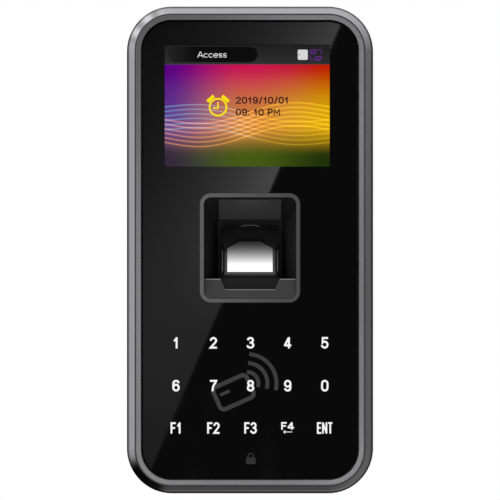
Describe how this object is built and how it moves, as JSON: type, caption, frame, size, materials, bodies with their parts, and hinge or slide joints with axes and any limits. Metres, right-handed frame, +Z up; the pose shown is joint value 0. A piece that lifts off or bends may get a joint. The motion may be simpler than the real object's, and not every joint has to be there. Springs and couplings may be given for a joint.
{
  "type": "fingerprint scanner terminal",
  "caption": "Wall-hung access terminal: banded frame, black glass with screen and lit touch numerals, sloped finger reader in a pocket, hook-on bracket with a security screw.",
  "frame": {"origin": "centre of the bracket's four wall holes, on the wall plane", "axes": "+Z up, +Y into the wall, +X to the right of a person facing the terminal"},
  "size_m": [0.088, 0.043, 0.174],
  "materials": {
    "bracket_steel": "black zinc-plated and powder-coated steel",
    "screw_steel": "stainless steel",
    "case_plastic": "fine-textured black moulding",
    "seal_rubber": "black silicone",
    "brass": "turned brass",
    "bright_frame": "dark satin chrome plating",
    "black_glass": "toughened glass, printed black behind, clear over the display",
    "foam_tape": "black foam tape",
    "inner_plastic": "black glass-filled moulding",
    "display": "lit colour panel",
    "backlight_tray": "white light tray",
    "flex_film": "amber polyimide film",
    "circuit_board": "green solder mask",
    "diffuser": "translucent white sheet",
    "lamp": "clear lamp resin",
    "copper": "copper track",
    "ring_grey": "grey anodised trim",
    "pocket_plastic": "satin black moulding",
    "dark_window": "dark tinted panel",
    "rest_plastic": "dark grey moulding",
    "prism_glass": "coated optical glass",
    "chip_epoxy": "black epoxy",
    "tin_can": "tinned steel",
    "relay_case": "blue relay cover",
    "capacitor_sleeve": "dark sleeve and aluminium top",
    "jack_plastic": "black connector moulding",
    "gold_contact": "gilt spring",
    "terminal_green": "green terminal moulding",
    "lever_orange": "orange lever",
    "cell_steel": "nickel-plated cell",
    "switch_button": "red button",
    "spring_steel": "spring wire",
    "plunger_nylon": "natural nylon",
    "cone_film": "membrane",
    "magnet_steel": "plated magnet yoke",
    "lead_sleeve": "coloured wire sleeve"
  },
  "bodies": {
    "bracket": {"wall_bracket": "bracket_steel"},
    "terminal": {"security_insert": "brass", "rear_case": "case_plastic", "case_seal": "seal_rubber", "case_screws": "screw_steel", "case_inserts": "brass", "front_frame": "bright_frame", "glass_adhesive": "foam_tape", "front_glass": "black_glass", "inner_chassis": "inner_plastic", "chassis_screws": "screw_steel", "lcd_glass": "display", "lcd_backlight": "backlight_tray", "lcd_gasket": "foam_tape", "lcd_flex": "flex_film", "touch_board": "circuit_board", "legend_light_guide": "diffuser", "legend_leds": "lamp", "antenna_coil": "copper", "touch_flex": "flex_film", "sensor_ring": "ring_grey", "pocket_liner": "pocket_plastic", "ceiling_window": "dark_window", "finger_rest": "rest_plastic", "finger_stop": "pocket_plastic", "status_leds": "lamp", "sensor_frame": "rest_plastic", "sensor_prism": "prism_glass", "sensor_body": "pocket_plastic", "sensor_lens": "prism_glass", "sensor_board": "circuit_board", "sensor_leds": "lamp", "sensor_ribbon": "flex_film", "main_board": "circuit_board", "board_screws": "screw_steel", "processor_shield": "tin_can", "board_chips": "chip_epoxy", "relays": "relay_case", "capacitors": "capacitor_sleeve", "network_jack": "jack_plastic", "jack_contacts": "gold_contact", "terminal_headers": "terminal_green", "terminal_levers": "lever_orange", "coin_cell": "cell_steel", "coin_cell_holder": "jack_plastic", "reset_switch": "chip_epoxy", "bay_seal": "seal_rubber", "tamper_switch": "chip_epoxy", "speaker_gasket": "foam_tape", "speaker_frame": "inner_plastic", "speaker_cone": "cone_film", "speaker_magnet": "magnet_steel", "speaker_leads": "lead_sleeve"},
    "washer": {"security_washer": "screw_steel"},
    "screw": {"security_screw": "screw_steel"},
    "plunger": {"tamper_plunger": "plunger_nylon", "tamper_spring": "spring_steel"},
    "reset_key": {"reset_button": "switch_button"}
  },
  "joints": [
    {"name": "terminal_lift", "type": "slide", "parent": "bracket", "child": "terminal", "axis": [0, 0, 1], "range_m": [0, 0.006]},
    {"name": "tamper_press", "type": "slide", "parent": "terminal", "child": "plunger", "axis": [0, 1, 0], "range_m": [0, 0.0015], "deforming": ["tamper_spring"]},
    {"name": "screw_advance", "type": "slide", "parent": "bracket", "child": "washer", "axis": [0, 0, -1], "range_m": [0, 0.006]},
    {"name": "screw_turn", "type": "hinge", "parent": "washer", "child": "screw", "pos_m": [0, -0.008, -0.083], "axis": [0, 0, -1], "range_deg": [0, 4320]},
    {"name": "reset_press", "type": "slide", "parent": "terminal", "child": "reset_key", "axis": [0, -1, 0], "range_m": [0, 0.0003], "stiffness_N_per_m": 3000}
  ],
  "couplings": [
    {"joint": "tamper_press", "follows": "terminal_lift", "ratio": 0.25},
    {"joint": "screw_turn", "follows": "screw_advance", "rad_per_m": 12566}
  ]
}
